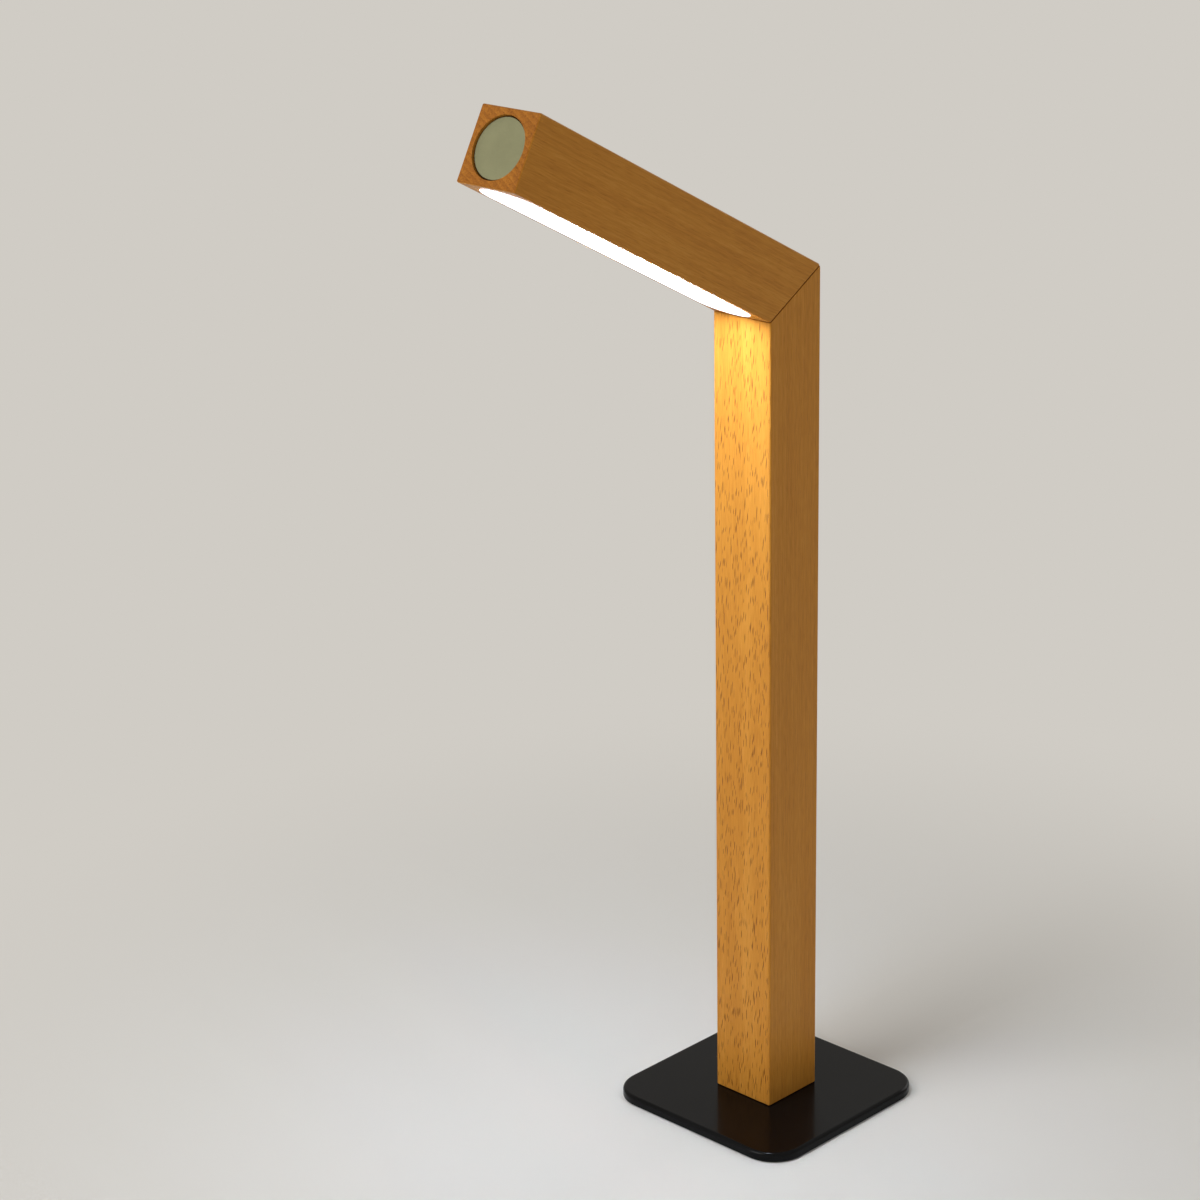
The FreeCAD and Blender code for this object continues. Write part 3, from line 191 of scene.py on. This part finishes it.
class Paint:
    """The nodes of one material or world. Each call adds a node and returns the output that others take."""

    def __init__(self, block):
        self.block = block
        block.use_nodes = True
        self.nodes = block.node_tree.nodes
        self.links = block.node_tree.links
        self.shader = self.nodes.get("Principled BSDF") or self.nodes["Background"]
        spot = self.nodes.new("ShaderNodeTexCoord")
        self.place = spot.outputs["Object"]
        self.normal = spot.outputs["Normal"]

    def feed(self, socket, value):
        if isinstance(value, bpy.types.NodeSocket):
            self.links.new(value, socket)
        else:
            socket.default_value = value

    def node(self, kind, inputs, **settings):
        made = self.nodes.new(kind)
        for key, value in settings.items():
            setattr(made, key, value)
        for key, value in inputs.items():
            self.feed(made.inputs[key], value)
        return made

    def set(self, **inputs):
        for key, value in inputs.items():
            self.feed(self.shader.inputs[key.replace("_", " ")], value)

    def turned(self, vector, angles, shift):
        inputs = {"Vector": vector, "Rotation": angles, "Location": shift}
        return self.node("ShaderNodeMapping", inputs).outputs["Vector"]

    def split(self, vector):
        return self.node("ShaderNodeSeparateXYZ", {"Vector": vector}).outputs[:]

    def plane(self, x, y):
        """A vector in the plane of x and y."""
        return self.node("ShaderNodeCombineXYZ", {"X": x, "Y": y}).outputs["Vector"]

    def facing(self, angles):
        """How far the surface faces along each axis that the angles turn to, from 0 to 1."""
        inputs = {"Vector": self.normal, "Rotation": angles}
        turned = self.node("ShaderNodeMapping", inputs, vector_type="NORMAL")
        return [self.math("ABSOLUTE", part) for part in self.split(turned.outputs["Vector"])]

    def math(self, operation, *values):
        return self.node("ShaderNodeMath", dict(enumerate(values)), operation=operation).outputs["Value"]

    def vector_math(self, operation, *values):
        return self.node("ShaderNodeVectorMath", dict(enumerate(values)), operation=operation)

    def scaled(self, vector, size):
        inputs = {"Vector": vector, "Scale": [1 / length for length in size]}
        return self.node("ShaderNodeMapping", inputs).outputs["Vector"]

    def noise(self, vector, size, detail=MEDIUM):
        inputs = {"Vector": self.scaled(vector, size), "Scale": 1.0, "Detail": detail}
        return self.node("ShaderNodeTexNoise", inputs).outputs["Fac"]

    def fit(self, value, low, high, to_low=0.0, to_high=1.0, curve="LINEAR"):
        """The value moved from the range of low to high into another, and held inside it."""
        inputs = {"Value": value, "From Min": low, "From Max": high, "To Min": to_low, "To Max": to_high}
        return self.node("ShaderNodeMapRange", inputs, interpolation_type=curve).outputs["Result"]

    def around(self, noise, middle, wander):
        """A value that a noise texture takes up and down from a middle."""
        return self.fit(noise, NOISE_LOW, NOISE_HIGH, middle - wander, middle + wander)

    def sum(self, value, factor, rest):
        """The value times the factor, plus the rest."""
        return self.math("MULTIPLY_ADD", value, factor, rest)

    def mixed(self, first, second, first_share):
        return self.sum(first, first_share, self.math("MULTIPLY", second, 1 - first_share))

    def ramp(self, value, stops):
        made = self.node("ShaderNodeValToRGB", {"Fac": value})
        elements = made.color_ramp.elements
        for position, colour in stops[1:-1]:
            elements.new(position).color = linear(colour)
        for element, (position, colour) in ((elements[0], stops[0]), (elements[-1], stops[-1])):
            element.position = position
            element.color = linear(colour)
        return made.outputs["Color"]

    def bump(self, height, depth, strength):
        inputs = {"Height": height, "Distance": depth, "Strength": strength}
        self.set(Normal=self.node("ShaderNodeBump", inputs).outputs["Normal"])

    def backdrop(self, share=1.0):
        """Shows a share of the pale backdrop to the camera, in gloss and through glass."""
        ray = self.node("ShaderNodeLightPath", {}).outputs
        seen = self.math("MAXIMUM", ray["Is Camera Ray"], ray["Is Glossy Ray"])
        seen = self.math("MAXIMUM", seen, ray["Is Transmission Ray"])
        kind = "ShaderNodeBackground" if "World Output" in self.nodes else "ShaderNodeEmission"
        pale = self.node(kind, {"Color": linear(BACKDROP_COLOUR)})
        inputs = {0: self.math("MULTIPLY", seen, share), 1: self.shader.outputs[0], 2: pale.outputs[0]}
        output = self.nodes.get("World Output") or self.nodes["Material Output"]
        self.links.new(self.node("ShaderNodeMixShader", inputs).outputs["Shader"], output.inputs["Surface"])

    def one_sided(self):
        """Clears the surface where it is seen from its back."""
        surface = self.nodes["Material Output"].inputs["Surface"]
        back = self.node("ShaderNodeNewGeometry", {}).outputs["Backfacing"]
        clear = self.node("ShaderNodeBsdfTransparent", {})
        inputs = {0: back, 1: surface.links[0].from_socket, 2: clear.outputs[0]}
        self.links.new(self.node("ShaderNodeMixShader", inputs).outputs["Shader"], surface)


def flecks(paint, grain, side, front):
    """The short dark dashes of beech along its fibres, clear on the faces along the rings."""
    x, y, z = paint.split(grain)
    across = paint.math("SUBTRACT", paint.math("MULTIPLY", x, front), paint.math("MULTIPLY", y, side))
    slanted = paint.sum(z, -FLECK_SLANT, across)
    drift = paint.noise(paint.plane(slanted, z), FLECK_DRIFT_SIZE, PLAIN)
    flat = paint.plane(slanted, paint.sum(drift, FLECK_DRIFT, z))
    inputs = {
        "Vector": paint.scaled(flat, FLECK_STEP),
        "Scale": 1.0,
        "Exponent": FLECK_POINT,
        "Randomness": FLECK_SPREAD,
    }
    cells = paint.node("ShaderNodeTexVoronoi", inputs, voronoi_dimensions="2D", distance="MINKOWSKI").outputs
    chance = paint.node("ShaderNodeSeparateColor", {"Color": cells["Color"]}).outputs
    reach = paint.math("MULTIPLY", cells["Distance"], paint.fit(chance["Red"], 0, 1, *FLECK_SHRINK))
    dash = paint.fit(reach, FLECK_RADIUS * (1 + FLECK_SOFT), FLECK_RADIUS * (1 - FLECK_SOFT))
    dash = paint.math("MULTIPLY", dash, paint.fit(chance["Green"], *FLECK_CHANCE))
    return paint.math("MULTIPLY", dash, paint.sum(front, FLECK_ON_FRONT, FLECK_EVERYWHERE))


def growth_rings(paint, grain):
    """Rings round a pith behind the bar. At a scale of 1 the wave texture has ten waves to pi units."""
    from_pith = paint.turned(grain, (0, 0, 0), (PITH_BESIDE, -PITH_BEHIND, 0))
    inputs = {"Vector": from_pith, "Scale": math.pi / (10 * RING_STEP), **RING_WAVER}
    settings = {"wave_type": "RINGS", "rings_direction": "Z", "wave_profile": "SAW"}
    return paint.node("ShaderNodeTexWave", inputs, **settings).outputs["Fac"]


def beech(name, angles, shift):
    """Lacquered beech, whose fibres run along z once it is turned by the angles."""
    paint = Paint(bpy.data.materials.new(name))
    grain = paint.turned(paint.place, angles, shift)
    side, front, end = paint.facing(angles)
    streak = paint.noise(grain, STREAK_SIZE, FINE)
    fibre = paint.noise(grain, FIBRE_SIZE, FINE)
    pores = paint.fit(paint.noise(grain, PORE_SIZE, PLAIN), *PORE_RANGE)
    rings = growth_rings(paint, grain)
    dashes = flecks(paint, grain, side, front)
    on_end = paint.sum(pores, END_PORE_TONE, paint.sum(rings, END_RING_TONE, END_TONE))
    tone = paint.sum(streak, STREAK_TONE, BEECH_TONE)
    tone = paint.sum(fibre, FIBRE_TONE, tone)
    tone = paint.sum(rings, RING_TONE, tone)
    tone = paint.sum(dashes, FLECK_TONE, tone)
    tone = paint.sum(paint.fit(end, *END_RANGE), on_end, tone)
    paint.set(
        Base_Color=paint.ramp(tone, BEECH_STOPS),
        Roughness=paint.fit(fibre, NOISE_LOW, NOISE_HIGH, BEECH_SMOOTH, BEECH_ROUGH),
        Specular_IOR_Level=BEECH_SHINE,
        Specular_Tint=linear(BEECH_SHEEN),
    )
    paint.bump(paint.sum(dashes, FLECK_RELIEF, fibre), BEECH_RELIEF, BEECH_RELIEF_SHARE)
    return paint.block


def coated(name, colour, roughness, grain, depth, spread, shine=COAT_SHINE, gloss=0.0):
    """A finely textured coat or moulding: powder coat, plastic, rubber or foam."""
    paint = Paint(bpy.data.materials.new(name))
    speck = paint.noise(paint.place, (grain,) * 3, FINE)
    cloud = paint.noise(paint.place, (COAT_CLOUD_SPECKS * grain,) * 3)
    dark, pale = [[min(255, value * share) for value in colour] for share in (1 - spread, 1 + spread)]
    shade = paint.mixed(speck, cloud, COAT_SPECK_SHARE)
    paint.set(
        Base_Color=paint.ramp(shade, ((NOISE_LOW, dark), (NOISE_HIGH, pale))),
        Roughness=paint.around(cloud, roughness, COAT_WANDER),
        Specular_IOR_Level=shine,
        Coat_Weight=gloss,
        Coat_Roughness=GLOSS_ROUGHNESS,
    )
    paint.bump(speck, depth, COAT_RELIEF_SHARE)
    return paint.block


def metal(name, colour, roughness, size, depth):
    """Bare metal, with its fine marks as long in each direction as size says."""
    paint = Paint(bpy.data.materials.new(name))
    marks = paint.noise(paint.place, size, FINE)
    cloud = paint.noise(paint.place, (METAL_CLOUD,) * 3)
    dark = [value * METAL_DARK for value in colour]
    shade = paint.mixed(marks, cloud, METAL_MARK_SHARE)
    paint.set(
        Base_Color=paint.ramp(shade, ((NOISE_LOW, dark), (NOISE_HIGH, colour))),
        Metallic=1.0,
        Roughness=paint.around(marks, roughness, METAL_WANDER),
    )
    paint.bump(marks, depth, METAL_RELIEF_SHARE)
    return paint.block


def opal(name):
    """The lit diffuser: dimmer at its two ends, and seen without the glare of the light that it casts."""
    paint = Paint(bpy.data.materials.new(name))
    patch = paint.noise(paint.place, (OPAL_PATCH,) * 3, PLAIN)
    middle = sum(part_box("lens"), Vector()) / 2
    from_middle = paint.vector_math("SUBTRACT", paint.place, middle).outputs["Vector"]
    along = paint.split(paint.turned(from_middle, ALONG_ARM, (0, 0, 0)))[2]
    fade = paint.fit(paint.math("ABSOLUTE", along), GLOW_HALF - GLOW_FADE, GLOW_HALF, 1.0, GLOW_END)
    ray = paint.node("ShaderNodeLightPath", {}).outputs
    cast = paint.math("MULTIPLY", fade, GLOW_STRENGTH)
    paint.set(
        Base_Color=paint.ramp(patch, OPAL_STOPS),
        Roughness=OPAL_ROUGHNESS,
        Emission_Color=linear(GLOW_COLOUR),
        Emission_Strength=paint.fit(ray["Is Camera Ray"], 0, 1, cast, GLOW_SEEN),
    )
    return paint.block


def materials():
    """A material for each of the record's slots, apart from beech."""
    made = {slot: coated(slot, *look) for slot, look in COATS.items()}
    made.update({slot: metal(slot, *look) for slot, look in METALS.items()})
    made["black_steel"] = coated("black_steel", *BASE_COAT, shine=BASE_SHINE, gloss=BASE_GLOSS)
    made["opal"] = opal("opal")
    return made


def dress():
    """Gives every node the material of its slot. The two bars differ in the way that their fibres run."""
    by_slot = materials()
    by_node = {
        "post": beech("beech_post", (0, 0, 0), (0, 0, 0)),
        "arm": beech("beech_arm", ALONG_ARM, ARM_GRAIN_SHIFT),
    }
    for subpart in frame["record"]["subparts"]:
        node = frame["nodes"][subpart["node"]]
        material = by_node.get(subpart["node"]) or by_slot[subpart["material_slot"]]
        node.data.materials.clear()
        node.data.materials.append(material)


def link(name, data):
    made = bpy.data.objects.new(name, data)
    bpy.context.scene.collection.objects.link(made)
    return made


def coil():
    """The switch's spring as a copy of its mesh, standing in place of the CAD spring, which is hidden."""
    node = frame["nodes"]["button_spring"]
    made = link("coil_spring", node.data.copy())
    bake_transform(made)
    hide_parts("button_spring")


def camera():
    azimuth, dip, roll = (math.radians(a) for a in (CAMERA_AZIMUTH, CAMERA_DIP, CAMERA_ROLL))
    look = Vector((-math.sin(azimuth) * math.cos(dip), math.cos(azimuth) * math.cos(dip), -math.sin(dip)))
    level = Vector((math.cos(azimuth), math.sin(azimuth), 0))
    rise = level.cross(look)
    right = level * math.cos(roll) + rise * math.sin(roll)
    data = bpy.data.cameras.new("camera")
    data.lens = CAMERA_LENS_MM
    data.sensor_width = CAMERA_SENSOR_MM
    made = link("camera", data)
    turn = Matrix((right, right.cross(look), -look)).transposed().to_4x4()
    made.matrix_world = Matrix.Translation(CAMERA_PLACE) @ turn
    bpy.context.scene.camera = made


def softbox(name, place, side, watts):
    data = bpy.data.lights.new(name, "AREA")
    data.size = side
    data.energy = watts
    made = link(name, data)
    made.location = place
    aim = Vector((0, 0, AIM_HEIGHT)) - Vector(place)
    made.rotation_euler = aim.to_track_quat("-Z", "Y").to_euler()


def floor():
    """Lit and shadowed as a floor near the object, and even as a backdrop further away."""
    bpy.ops.mesh.primitive_circle_add(vertices=FLOOR_SIDES, radius=FLOOR_RADIUS, fill_type="NGON")
    made = bpy.context.object
    made.name = "floor"
    paint = Paint(bpy.data.materials.new("floor"))
    paint.set(Base_Color=linear(FLOOR_COLOUR), Roughness=FLOOR_ROUGHNESS)
    made.data.materials.append(paint.block)
    away = paint.vector_math("LENGTH", paint.place).outputs["Value"]
    paint.backdrop(paint.fit(away, BACKDROP_NEAR, BACKDROP_FAR, curve="SMOOTHSTEP"))
    paint.one_sided()


def sky():
    world = bpy.data.worlds.new("sky")
    bpy.context.scene.world = world
    paint = Paint(world)
    paint.set(Color=linear(SKY_COLOUR), Strength=SKY_STRENGTH)
    paint.backdrop()


def studio():
    floor()
    sky()
    softbox("key", KEY_PLACE, KEY_SIDE, KEY_WATTS)
    softbox("back", BACK_PLACE, BACK_SIDE, BACK_WATTS)
    bpy.context.scene.view_settings.view_transform = "Standard"


camera()
studio()
dress()
coil()
